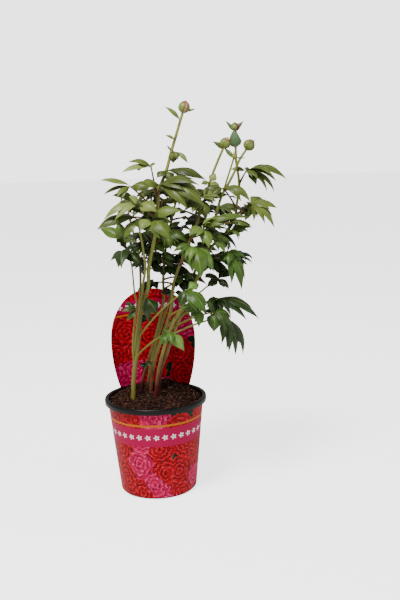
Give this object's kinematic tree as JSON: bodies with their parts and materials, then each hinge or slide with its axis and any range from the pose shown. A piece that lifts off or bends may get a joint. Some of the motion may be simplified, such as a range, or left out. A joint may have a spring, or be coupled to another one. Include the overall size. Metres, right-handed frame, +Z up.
{
  "type": "potted peony",
  "caption": "Leafy herbaceous peony in bud on tall leaning stems, in a tapered black pot with a printed sleeve and a round-topped picture card behind.",
  "frame": {"origin": "centre of the pot's flat underside, on the ground", "axes": "+Z up, +Y towards the picture card at the back, +X to the right as seen from the front"},
  "size_m": [0.3448, 0.2705, 0.7121],
  "materials": {
    "pot_plastic": "satin black",
    "peat": "loose dark peat",
    "printed_card": "glossy print",
    "foliage": "waxy leaf",
    "bud_skin": "satin"
  },
  "bodies": {
    "root": {"pot": "pot_plastic", "soil": "peat", "printed_sleeve": "printed_card", "leafy_stem_1": "foliage", "leafy_stem_2": "foliage", "leafy_stem_3": "foliage", "leafy_stem_4": "foliage", "leafy_stem_5": "foliage", "leafy_stem_6": "foliage", "leafy_stem_7": "foliage", "bud_1": "bud_skin", "bud_2": "bud_skin", "bud_3": "bud_skin", "bud_4": "bud_skin", "bud_5": "bud_skin"}
  },
  "joints": []
}
